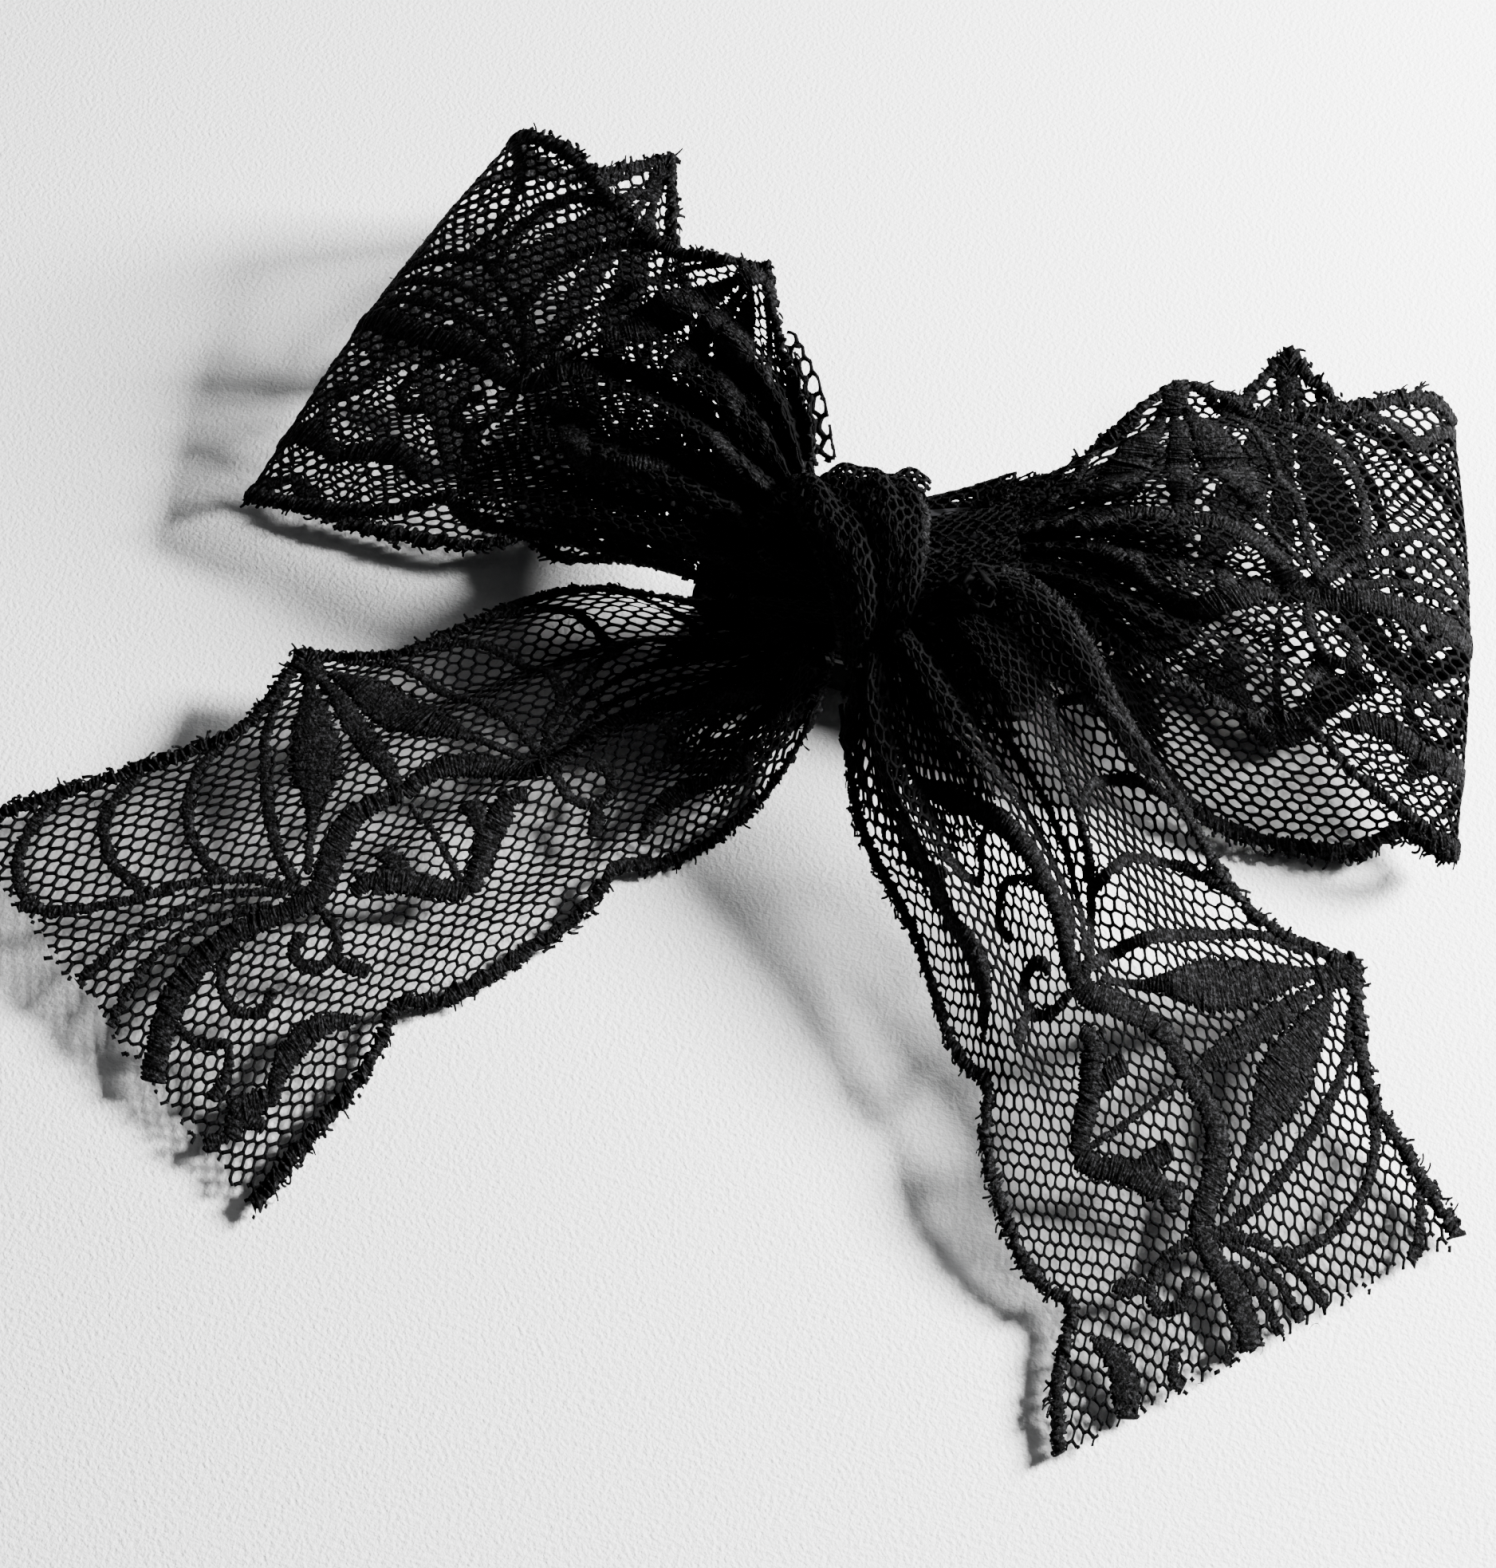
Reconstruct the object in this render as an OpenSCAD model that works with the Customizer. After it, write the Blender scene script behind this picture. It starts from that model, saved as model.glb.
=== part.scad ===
// Lace hair bow on an alligator clip. Millimetres, +Z out of the bow's face, +X along its loops,
// +Y towards the top of the head. The origin is the middle of the clip's flat outer back, so the
// bow lies on z = 0. One lace ribbon makes the loops, the knot and the tails; each stretch of it
// is a thin closed shell between two edge curves.

/* [Ribbon] */
// Thickness of the lace shell where the ribbon lies flat
lace_t = 1.2; // [0.8:0.1:1.6]
// Extra thickness where the ribbon is gathered into the knot
gather_t = 1.2; // [0:0.1:1.6]
// Height that the loops' upper leaves bulge between their edges
loop_crown = 3; // [0:0.5:4]
// Height that the tails bulge between their edges
tail_crown = 2; // [0:0.5:3]

/* [Knot] */
// Width of the wrap along the bow
wrap_w = 15; // [12:0.5:18]
// Height of the wrap across the bow
wrap_h = 20; // [18:0.5:21]
// Depth of the wrap, back to front
wrap_d = 16.2; // [15:0.2:17]
// Thickness of the wrap's wall
wrap_t = 2; // [1.6:0.1:2.2]
// Turn of the wrap about the bow's depth, in degrees
wrap_turn = -20; // [-30:1:0]

/* [Clip] */
// Length of the clip's blades
clip_l = 42; // [40:1:44]
// Width of the top plate
plate_w = 8.4; // [8.2:0.1:9]
// Thickness of the blades' sheet steel
sheet_t = 0.7; // [0.6:0.1:0.8]
// Height of the top plate's underside over the clip's back
plate_z = 7; // [6.8:0.1:7.2]
// Width of the lower jaw
jaw_w = 6.2; // [6:0.1:6.2]
// Radius of the hinge pin
pin_r = 0.8; // [0.7:0.05:0.85]
// Number of teeth at the jaw's tip
teeth = 5; // [3:1:6]
// Thickness of the ribbon liner on the plate
liner_t = 0.7; // [0.5:0.1:0.7]

/* [Spring] */
// Radius of the spring's wire
wire_r = 0.22; // [0.2:0.01:0.25]
// Number of turns round the pin
turns = 6; // [4:1:7]

/* [Hidden] */

LACE = [0.05, 0.05, 0.05];
STEEL = [0.12, 0.12, 0.13];
LACE_ALONG = 16;   // facets along a stretch of lace
LACE_ACROSS = 8;   // facets across it
SMOOTH = 48;       // facets of small round metal parts in the preview

// Edge curves of the lace, from the knot outwards. A loop's curves run out along its upper leaf,
// round the fold at its tip, and back along its lower leaf.
LOOP_LEFT_TOP = [
    [-10, 12, 23], [-14, 21, 28], [-22, 29, 31], [-39, 37, 30], [-56, 49, 24.5],
    [-60, 54, 19.5], [-57, 58, 14], [-46, 60.5, 9], [-34, 46, 8], [-22, 30, 10], [-11, 12, 14]
];
LOOP_LEFT_BOTTOM = [
    [-11, -2, 17.5], [-21, -4, 17], [-36, -4, 15], [-55, -4, 11], [-72, -4, 7.5],
    [-75, -3, 5], [-72, -2, 2.5], [-57, -1, 2], [-41, 0, 4.5], [-27, 0, 10], [-12, -1, 12]
];
LOOP_RIGHT_TOP = [
    [9, 10, 22], [15, 16, 26], [27, 28, 31], [41, 36, 29], [52.5, 45.5, 24],
    [55.5, 48.5, 19], [52, 51, 14], [36, 56, 9], [24, 44, 8], [14, 28, 10], [9, 12, 14]
];
LOOP_RIGHT_BOTTOM = [
    [9, 3, 17.5], [22, 6, 18], [37, 1, 15], [54, 0, 11], [68, -3, 8],
    [71, -3, 5.2], [68, -4, 2.2], [52, -7, 1.5], [39, -7, 4.2], [27, -2, 11], [10, 0, 12.5]
];
TAIL_LEFT_TOP = [
    [-8, -3, 13], [-20, -3, 10], [-34, -4, 8], [-46, -13, 8], [-58, -23.5, 7.5], [-72, -40, 6],
    [-87, -57, 5]
];
TAIL_LEFT_BOTTOM = [
    [-2, -9, 12], [-3, -15, 5], [-6, -24, 2], [-12, -34, 1.2], [-22, -49, 1.2], [-32, -66, 1.2],
    [-38, -86, 1.2]
];
TAIL_RIGHT_TOP = [
    [12, -1, 23.5], [16, 3, 24], [24, 1, 23], [34, -6, 17], [49, -14, 9], [65, -22, 4],
    [75, -33, 2.5], [84, -45, 1.5]
];
TAIL_RIGHT_BOTTOM = [
    [4, -11, 16], [5, -17, 13], [10, -26, 10], [20, -36.5, 8.5], [30, -51.5, 6.5], [38, -63, 4],
    [45, -71, 2.2], [51, -83, 1.2]
];
TAIL_REACH = 0.04;  // start of a tail's shell, as a share of its length

WRAP_C = [0, 1, plate_z + sheet_t + liner_t + wrap_d / 2 - 0.4];
WRAP_STEPS = 28;
WRAP_PROFILE = 10;
BUNDLE_GAP = 0.3;   // room between the bundle and the wrap's inner wall
BUNDLE_L = 18;
BUNDLE_FLARE = 1.12;
BUNDLE_RINGS = 8;
BUNDLE_SIDES = 24;

CLIP_BACK_X = -20;
PIVOT = [-7, 0, 3.8];
EAR_R = 2;
EAR_T = 0.8;
EAR_GAP = 0.3;      // side room between the jaw's ears and the plate's
PIN_CLEARANCE = 0.06;
PIN_HEAD_R = 1.3;
PIN_HEAD_T = 0.4;
JAW_BEND_X = 13;    // where the jaw's tip starts to turn up
TOOTH_H = 0.8;
TOOTH_INSET = 0.05; // how far a tooth is set in from the faces of the sheet
TOOTH_GAP = 0.15;   // room between the teeth and the plate when the clip is shut
FLANGE_H = 1.4;
COIL_GAP = 0.2;     // room between the coil and the pin
LEG_L = 8;
WIRE_SIDES = 8;
COIL_STEPS = 14;    // facets in one turn of the coil
THREAD_R = 0.2;
STITCH_XS = [-1.5, 0.2, 1.9, 3.6];
STITCH_RISE = 1.1;  // how far a stitch reaches up into the wrap

// A point of a smooth curve through the points p, at share s of its length
function spline(p, s) =
    let (last = len(p) - 1,
         x = min(max(s, 0), 1) * last,
         i = min(floor(x), last - 1),
         f = x - i,
         a = p[max(i - 1, 0)], b = p[i], c = p[i + 1], d = p[min(i + 2, last)])
    0.5 * (2 * b + (c - a) * f + (2 * a - 5 * b + 4 * c - d) * f * f
           + (3 * b - a - 3 * c + d) * f * f * f);

function unit(v) = v / norm(v);

// A point of the lace between its bottom edge and its top edge, crowned in the middle
function lace_point(bottom, top, crown, s, t) =
    spline(bottom, s) * (1 - t) + spline(top, s) * t
    + [0, 0, crown * sin(180 * t)];

function lace_normal(bottom, top, crown, s, t) =
    let (d = 0.01,
         along = lace_point(bottom, top, crown, s + d, t) - lace_point(bottom, top, crown, s - d, t),
         across = lace_point(bottom, top, crown, s, t + d) - lace_point(bottom, top, crown, s, t - d))
    unit(cross(along, across));

// Faces of a closed body made of rings of n points, with strip caps
function ring_faces(rings, n) = concat(
    [for (r = [0 : rings - 2], k = [0 : n - 1])
        let (a = r * n + k, b = r * n + (k + 1) % n) [a, b, b + n]],
    [for (r = [0 : rings - 2], k = [0 : n - 1])
        let (a = r * n + k, b = r * n + (k + 1) % n) [a, b + n, a + n]],
    cap_faces(0, n, true), cap_faces((rings - 1) * n, n, false));

function cap_faces(first, n, flip) =
    [for (k = [0 : n / 2 - 2], half = [0, 1])
        let (a = first + k, b = a + 1, c = first + n - 1 - k, d = c - 1,
             tri = half == 0 ? [a, c, d] : [a, d, b])
        flip ? tri : [tri[0], tri[2], tri[1]]];

// A stretch of lace from s0 to s1 along its edge curves. crown(s) and thick(s) follow the gather.
module lace(bottom, top, crown_h, s0, s1, loop) {
    function gathered(s) = loop ? pow(abs(2 * s - 1), 6) : pow(1 - s, 6);
    function crown(s) = crown_h * (loop ? cos(180 * s) : 1) * sin(loop ? 180 * abs(2 * s - 1) : 180 * s);
    rings = LACE_ALONG + 1;
    points = [for (i = [0 : LACE_ALONG])
        let (s = s0 + (s1 - s0) * i / LACE_ALONG, half = (lace_t + gather_t * gathered(s)) / 2)
        for (side = [1, -1], j = [0 : LACE_ACROSS])
            let (t = side > 0 ? j / LACE_ACROSS : 1 - j / LACE_ACROSS)
            lace_point(bottom, top, crown(s), s, t)
            + side * half * lace_normal(bottom, top, crown(s), s, t)];
    polyhedron(points, ring_faces(rings, 2 * (LACE_ACROSS + 1)), convexity = 6);
}

module loop_left_front() {
    color(LACE) lace(LOOP_LEFT_BOTTOM, LOOP_LEFT_TOP, loop_crown, 0, 0.5, true);
}

module loop_left_back() {
    color(LACE) lace(LOOP_LEFT_BOTTOM, LOOP_LEFT_TOP, loop_crown, 0.5, 1, true);
}

module loop_right_front() {
    color(LACE) lace(LOOP_RIGHT_BOTTOM, LOOP_RIGHT_TOP, loop_crown, 0, 0.5, true);
}

module loop_right_back() {
    color(LACE) lace(LOOP_RIGHT_BOTTOM, LOOP_RIGHT_TOP, loop_crown, 0.5, 1, true);
}

module tail_left() {
    color(LACE) lace(TAIL_LEFT_BOTTOM, TAIL_LEFT_TOP, tail_crown, TAIL_REACH, 1, false);
}

module tail_right() {
    color(LACE) lace(TAIL_RIGHT_BOTTOM, TAIL_RIGHT_TOP, tail_crown, TAIL_REACH, 1, false);
}

// The wrap: a soft band round the bundle, flat where it sits on the liner
module knot_wrap() {
    floor_z = plate_z + sheet_t + liner_t;
    points = [for (i = [0 : WRAP_STEPS - 1], k = [0 : WRAP_PROFILE - 1])
        let (a = 360 * i / WRAP_STEPS,
             q = 360 * k / WRAP_PROFILE,
             x = wrap_w / 2 * (cos(q) + 0.1 * cos(3 * q)),
             out = wrap_t / 2 * (sin(q) - 1),
             y = (wrap_h / 2 + out) * cos(a),
             z = (wrap_d / 2 + out) * sin(a))
        [x * cos(wrap_turn) + y * sin(wrap_turn),
         y * cos(wrap_turn) - x * sin(wrap_turn) + WRAP_C[1],
         max(z + WRAP_C[2], floor_z)]];
    faces = [for (i = [0 : WRAP_STEPS - 1], k = [0 : WRAP_PROFILE - 1], half = [0, 1])
        let (i2 = (i + 1) % WRAP_STEPS, k2 = (k + 1) % WRAP_PROFILE,
             a = i * WRAP_PROFILE + k, b = i * WRAP_PROFILE + k2,
             c = i2 * WRAP_PROFILE + k2, d = i2 * WRAP_PROFILE + k)
        half == 0 ? [a, c, b] : [a, d, c]];
    color(LACE) polyhedron(points, faces, convexity = 6);
}

// The gathered middle of the ribbon, inside the wrap
module throat_gather() {
    h = wrap_h / 2 - wrap_t - BUNDLE_GAP;
    d = wrap_d / 2 - wrap_t - BUNDLE_GAP;
    points = [for (i = [0 : BUNDLE_RINGS])
        let (x = BUNDLE_L * (i / BUNDLE_RINGS - 0.5),
             swell = 1 + (BUNDLE_FLARE - 1) * pow(2 * x / BUNDLE_L, 4))
        for (k = [0 : BUNDLE_SIDES - 1])
            let (a = -360 * k / BUNDLE_SIDES)
            [x, h * swell * cos(a), d * swell * sin(a)]];
    color(LACE) translate(WRAP_C) rotate([0, 0, -wrap_turn]) polyhedron(points, ring_faces(BUNDLE_RINGS + 1, BUNDLE_SIDES), convexity = 4);
}

// Sheet steel seen from the side, spread to a width
module side_profile(outline, width) {
    translate([0, width / 2, 0]) rotate([90, 0, 0]) linear_extrude(width) polygon(outline);
}

// The child outline, drawn in x and z, as a pair of walls y0 to y0 + t either side of the middle
module walls(y0, t) {
    for (y = [-y0, y0 + t])
        translate([0, y, 0]) rotate([90, 0, 0]) linear_extrude(t) children();
}

// An ear round the pivot that reaches from the blade at height z
module ear(z) {
    translate([PIVOT[0], PIVOT[2]]) circle(EAR_R, $fn = SMOOTH);
    translate([PIVOT[0] - EAR_R, min(z, PIVOT[2])]) square([2 * EAR_R, abs(z - PIVOT[2])]);
}

module pivot_bore(r) {
    translate([PIVOT[0], plate_w, PIVOT[2]]) rotate([90, 0, 0])
        cylinder(r = r, h = 2 * plate_w, $fn = SMOOTH);
}

module clip_top_plate() {
    ear_y = jaw_w / 2 + EAR_GAP;
    tab_r = plate_w / 2;
    nose_r = 2;
    color(STEEL) difference() {
        union() {
            translate([0, 0, plate_z]) linear_extrude(sheet_t) union() {
                translate([CLIP_BACK_X + tab_r, 0]) circle(tab_r, $fn = SMOOTH);
                translate([CLIP_BACK_X + tab_r, -plate_w / 2])
                    square([clip_l - tab_r - nose_r, plate_w]);
                for (side = [-1, 1])
                    translate([CLIP_BACK_X + clip_l - nose_r, side * (plate_w / 2 - nose_r)])
                        circle(nose_r, $fn = SMOOTH);
                translate([CLIP_BACK_X + clip_l - nose_r, nose_r - plate_w / 2])
                    square([nose_r, plate_w - 2 * nose_r]);
            }
            walls(ear_y, EAR_T) ear(plate_z + sheet_t / 2);
        }
        pivot_bore(pin_r);
    }
}

module clip_lower_jaw() {
    tip_x = CLIP_BACK_X + clip_l;
    tip_z = plate_z - TOOTH_GAP - TOOTH_H;
    ear_t = EAR_T - 0.1;
    tooth_w = jaw_w / teeth;
    color(STEEL) difference() {
        union() {
            side_profile([
                [CLIP_BACK_X, 0], [JAW_BEND_X, 0], [tip_x, tip_z - 0.6], [tip_x, tip_z],
                [tip_x - sheet_t, tip_z], [JAW_BEND_X - 0.3, sheet_t],
                [CLIP_BACK_X, sheet_t]
            ], jaw_w);
            for (i = [0 : teeth - 1])
                translate([tip_x - sheet_t + TOOTH_INSET, -jaw_w / 2 + i * tooth_w, tip_z])
                    rotate([90, 0, 90]) linear_extrude(sheet_t - 2 * TOOTH_INSET)
                        polygon([[0.1, -0.4], [tooth_w - 0.1, -0.4],
                                 [tooth_w / 2 + 0.1, TOOTH_H], [tooth_w / 2 - 0.1, TOOTH_H]]);
            walls(jaw_w / 2 - ear_t, ear_t) {
                ear(sheet_t / 2);
                polygon([
                    [PIVOT[0], sheet_t / 2], [JAW_BEND_X - 4, sheet_t / 2],
                    [JAW_BEND_X - 6, sheet_t + FLANGE_H], [PIVOT[0], sheet_t + FLANGE_H]
                ]);
            }
        }
        pivot_bore(pin_r + PIN_CLEARANCE);
    }
}

module clip_pin() {
    reach = jaw_w / 2 + EAR_GAP + EAR_T;
    color(STEEL) translate([PIVOT[0], 0, PIVOT[2]]) rotate([90, 0, 0]) union() {
        cylinder(r = pin_r, h = 2 * reach, center = true, $fn = SMOOTH);
        for (side = [0, 1])
            mirror([0, 0, side]) translate([0, 0, reach])
                cylinder(r = PIN_HEAD_R, h = PIN_HEAD_T, $fn = SMOOTH);
    }
}

// Wire path of the torsion spring: one leg under the plate, the coil, one leg on the lever
module clip_spring() {
    coil_r = pin_r + COIL_GAP + wire_r;
    pitch = 2 * wire_r + 0.12;
    length = turns * pitch;
    steps = turns * COIL_STEPS;
    plate_touch = plate_z - wire_r - 0.05;
    lever_touch = sheet_t + wire_r + 0.05;
    coil = [for (i = [0 : steps])
        let (a = 90 + 360 * (turns + 0.5) * i / steps)
        [PIVOT[0] - coil_r * cos(a), -length / 2 + length * i / steps, PIVOT[2] + coil_r * sin(a)]];
    path = concat([[PIVOT[0] - LEG_L, -length / 2 - 0.1, plate_touch]], coil,
                  [[PIVOT[0] - LEG_L, length / 2 + 0.1, lever_touch]]);
    last = len(path) - 1;
    points = [for (i = [0 : last])
        let (ahead = unit(path[min(i + 1, last)] - path[max(i - 1, 0)]),
             side = unit([0, 1, 0] - ahead * ahead[1]),
             up = cross(side, ahead))
        for (k = [0 : WIRE_SIDES - 1])
            let (q = 360 * k / WIRE_SIDES)
            path[i] + wire_r * (cos(q) * side + sin(q) * up)];
    color(STEEL) polyhedron(points, ring_faces(last + 1, WIRE_SIDES), convexity = 8);
}

module clip_liner() {
    inset = 0.2;
    color(LACE) translate([CLIP_BACK_X + plate_w / 2, -plate_w / 2 + inset, plate_z + sheet_t])
        cube([clip_l - plate_w / 2 - 2, plate_w - 2 * inset, liner_t]);
}

// Loops of thread round the plate, the liner and the back of the wrap
module stitches() {
    y = plate_w / 2 + THREAD_R;
    low = plate_z - THREAD_R;
    high = plate_z + sheet_t + liner_t + STITCH_RISE;
    color(LACE) for (x = STITCH_XS) translate([x, 0, 0]) union() {
        for (z = [low, high])
            translate([0, y, z]) rotate([90, 0, 0]) cylinder(r = THREAD_R, h = 2 * y, $fn = 16);
        for (side = [-1, 1])
            translate([0, side * y, low]) cylinder(r = THREAD_R, h = high - low, $fn = 16);
        for (side = [-1, 1], z = [low, high])
            translate([0, side * y, z]) sphere(THREAD_R, $fn = 16);
    }
}

loop_left_front();
loop_left_back();
loop_right_front();
loop_right_back();
tail_left();
tail_right();
knot_wrap();
throat_gather();
clip_top_plate();
clip_lower_jaw();
clip_pin();
clip_spring();
clip_liner();
stitches();
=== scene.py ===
"""A black embroidered net ribbon tied in a bow on an alligator clip, built thread by thread.

The ribbon's net and embroidery are drawn once as a flat pattern, in millimetres along (u) and across
(v) the ribbon. Each stretch of the bow is a curved surface, and every thread of the pattern is laid on it.
"""
import math

import bpy
import numpy as np
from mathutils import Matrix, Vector


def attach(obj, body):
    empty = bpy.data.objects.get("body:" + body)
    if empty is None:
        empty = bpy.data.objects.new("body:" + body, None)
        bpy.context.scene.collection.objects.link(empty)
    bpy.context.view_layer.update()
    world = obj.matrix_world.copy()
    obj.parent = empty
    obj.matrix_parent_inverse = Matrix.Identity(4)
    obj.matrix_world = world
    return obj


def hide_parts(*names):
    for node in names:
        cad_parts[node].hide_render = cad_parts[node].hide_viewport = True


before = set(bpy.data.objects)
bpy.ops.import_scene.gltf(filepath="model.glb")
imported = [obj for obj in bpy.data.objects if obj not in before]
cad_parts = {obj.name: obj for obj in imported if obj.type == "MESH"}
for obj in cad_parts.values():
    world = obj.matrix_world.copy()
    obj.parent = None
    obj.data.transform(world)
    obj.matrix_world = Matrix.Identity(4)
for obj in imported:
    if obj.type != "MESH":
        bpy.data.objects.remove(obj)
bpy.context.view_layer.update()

MM = 0.001
TAU = 2 * math.pi

# ---------------------------------------------------------------- camera
TARGET = Vector((-6.5, -18.9, 0.0)) * MM
VIEW_AZIMUTH, VIEW_ELEVATION = 20.0, 57.0
VIEW_DISTANCE = 0.36
LENS = 72.5


def make_camera():
    az, el = math.radians(VIEW_AZIMUTH), math.radians(VIEW_ELEVATION)
    back = Vector((math.sin(az) * math.cos(el), -math.cos(az) * math.cos(el), math.sin(el)))
    data = bpy.data.cameras.new("camera")
    data.lens = LENS
    data.sensor_width = 36
    data.clip_start = 0.01
    camera = bpy.data.objects.new("camera", data)
    camera.location = TARGET + back * VIEW_DISTANCE
    camera.rotation_euler = (-back).to_track_quat("-Z", "Y").to_euler()
    bpy.context.scene.collection.objects.link(camera)
    bpy.context.scene.camera = camera


make_camera()

# ---------------------------------------------------------------- flat pattern
RIBBON = 50.0  # from the straight border to the scallop peaks
CELL_U, CELL_V = 1.92, 1.03  # net cell pitch along the ribbon, and row spacing across it
SHORT_EDGE = 0.58  # length of a cell's crosswise side
KNOT_R, TWIST_R, CROSS_R = 0.25, 0.195, 0.26  # thread radii: at a cell's corners, and halfway along sides
RAGGED = 0.45  # how far the net's ends vary along a border
CUT_RAGGED = 1.6  # times as much along a raw cut


def curve(points, n_per=10):
    """A smooth curve through points, as an array."""
    p = np.asarray(points, float)
    p = np.vstack([2 * p[0] - p[1], p, 2 * p[-1] - p[-2]])
    out = []
    f = np.linspace(0, 1, n_per, endpoint=False)[:, None]
    for a, b, c, d in zip(p, p[1:], p[2:], p[3:]):
        out.append(0.5 * (2 * b + (c - a) * f + (2 * a - 5 * b + 4 * c - d) * f**2
                          + (3 * b - a - 3 * c + d) * f**3))
    return np.vstack(out + [p[-2:-1]])


# Borders, as v over the distance from a peak of the scallops
SCALLOP = [(0, 50.4), (2.5, 48.3), (6, 46), (10, 44.3), (14, 44.4), (20, 45.5), (26, 46.8),
           (32, 47.8), (40, 48.8), (60, 49)]
HEM = [(0, 0), (7, 0.2), (10.5, 1), (13, 2.6), (14.6, 3), (16.6, 1.8), (20, 0), (25, -0.8), (32, -1),
       (60, -1)]


def border(points, u, peaks):
    away = np.min(np.abs(np.asarray(u)[..., None] - np.asarray(peaks)), axis=-1)
    c = curve(points)
    return np.interp(away, c[:, 0], c[:, 1])


# Embroidery on the u > 0 side of a peak: (points, width along the curve, height). All but the
# centred ones are mirrored to the other side.
RIB, THREAD, VINE = 1.4, 1.15, 3.3
SIDE_CORDS = [
    ([(3.4, 46.6), (7.8, 42.6), (11.8, 35.5), (14.8, 28), (15.8, 21.5)], [1.1, 1.6, 1.4], 0.55),
    # three arcs of the web, and the long threads under them
    ([(12, 44.2), (17.8, 41), (21.2, 36), (22, 31), (21.2, 27.4)], [RIB], 0.5),
    ([(21.4, 45.6), (27.4, 42.6), (30, 37.6), (29.6, 33.4), (28.6, 31)], [RIB], 0.5),
    ([(30.6, 47.2), (36.6, 44), (39.4, 39.6), (39, 36.4), (37.8, 35)], [RIB], 0.5),
    ([(15.2, 20.5), (19.2, 26), (25, 29.8), (31, 32), (37, 35), (44, 41)], [1.5, 1.3, 1.2], 0.5),
    ([(16.8, 22), (22.4, 26), (29.6, 28), (37, 28.2), (45, 27)], [THREAD, 1.2], 0.45),
    ([(19, 21.8), (25.4, 24.6), (33, 25), (40, 22.6), (46, 18.6)], [THREAD, 1.2], 0.45),
    # vine: arch over the sprig, then outwards
    ([(0, 25.2), (3, 26), (6.5, 25.6), (10, 23.4), (12.8, 20.6), (15.2, 19.4)], [2.1, VINE, VINE], 0.8),
    ([(14.4, 19.2), (18, 20), (24, 21.6), (31, 21.2), (38, 17.4), (45, 11)], [2.6, VINE, 2.6], 0.8),
    # sprig under the arch, with three tips
    ([(0, 10), (2.4, 12), (5.4, 15), (8.4, 17)], [2.5, 3.1, 3.4], 0.85),
    ([(5, 14.6), (5.2, 17.4), (5.4, 20.2)], [2.4, 2.8], 0.7),
    ([(7.6, 16.8), (9.4, 17.6), (11.2, 17.2)], [2.7, 2.1], 0.65),
    ([(7.4, 16.2), (8.8, 18), (9.4, 19.8)], [1.9, 1.3], 0.5),
    # curled tendril under the junction, with its bud
    ([(15, 18.4), (15, 14.8), (17, 12.2), (19.8, 12.8), (20.4, 15.6), (18.2, 16.8)], [1.3, 1.7], 0.55),
    ([(17, 12.2), (16.2, 10.4), (14.6, 8.2)], [0.9, 2.2, 1.6], 0.55),
    # hooks under the vine
    ([(25, 21), (28, 19), (29.4, 15.4), (27.2, 12.6), (24.4, 13.6)], [1.0, 1.5], 0.5),
    ([(35.4, 18.6), (35, 15), (32.4, 12.4), (34.6, 10), (37.4, 9.4)], [1.0, 1.6], 0.5),
    # leaf over the hem, and the rosette at its end
    ([(18.4, 4.2), (22, 6.6), (26, 7.2), (30, 6), (32.6, 4.2)], [0.8, 2.6, 3.6, 2.6, 1.4], 0.65),
    ([(32, 5.2), (35.4, 6.2), (38.4, 5.2)], [2.0, 3.2, 2.0], 0.7),
    ([(34.6, 3.2), (35.6, 6), (35.2, 8.8)], [1.6, 2.6, 1.4], 0.6),
    ([(38, 5.4), (41, 6.4), (43, 5.2)], [1.4, 1.9], 0.5),
]
CENTRE_CORDS = [
    ([(0, 24), (0.15, 18), (-0.1, 11)], [0.9, 1.0], 0.45),
    ([(0, 46), (0.2, 40), (0.1, 33), (0, 25.4)], [0.9, 2.8, 3.3, 1.0], 0.6),
    ([(-1.3, 48.2), (0, 49.4), (1.3, 48.2)], [2.6], 0.9),
    ([(-0.6, 45.2), (0, 47.6), (0.5, 50)], [3.4, 2.6], 0.8),
]
PETAL = ([(1.2, 46), (4.2, 38.6), (6.9, 33), (9.8, 28.4), (14, 22.6)],
         [0.9, 3.0, 4.8, 6.2, 6.4, 3.6, 1.3, 1.1, 1.1], 0.65)


class Threads:
    """Tubes on the flat pattern: ring points (u, v, height over the ribbon) and their faces."""

    def __init__(self):
        self.points, self.faces, self.slots, self.owners = [], [], [], []
        self.count = 0

    def add(self, rings, slot):
        """rings: (tubes, rings, sides, 3). All tubes have the same number of rings."""
        tubes, n, sides, _ = rings.shape
        index = np.arange(tubes * n * sides).reshape(tubes, n, sides) + self.count
        right = np.roll(index, -1, axis=2)
        walls = np.stack([index[:, :-1], right[:, :-1], right[:, 1:], index[:, 1:]], -1)
        faces = [walls.reshape(tubes, -1, 4)]
        ends = np.stack([index[:, 0, ::-1], index[:, -1, :]], 1)
        for k in range(sides // 2 - 1):
            faces.append(ends[:, :, [k, k + 1, sides - 2 - k, sides - 1 - k]])
        faces = np.concatenate(faces, 1)
        self.faces.append(faces.reshape(-1, 4))
        self.slots.append(np.full(faces.shape[0] * faces.shape[1], slot))
        self.owners.append(np.repeat(rings[..., 0].mean(axis=(1, 2)), faces.shape[1]))
        self.points.append(rings.reshape(-1, 3))
        self.count += tubes * n * sides

    def arrays(self):
        """Points, faces, their material slots, and the u of the tube that each face is part of."""
        return tuple(np.concatenate(x) for x in (self.points, self.faces, self.slots, self.owners))


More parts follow.
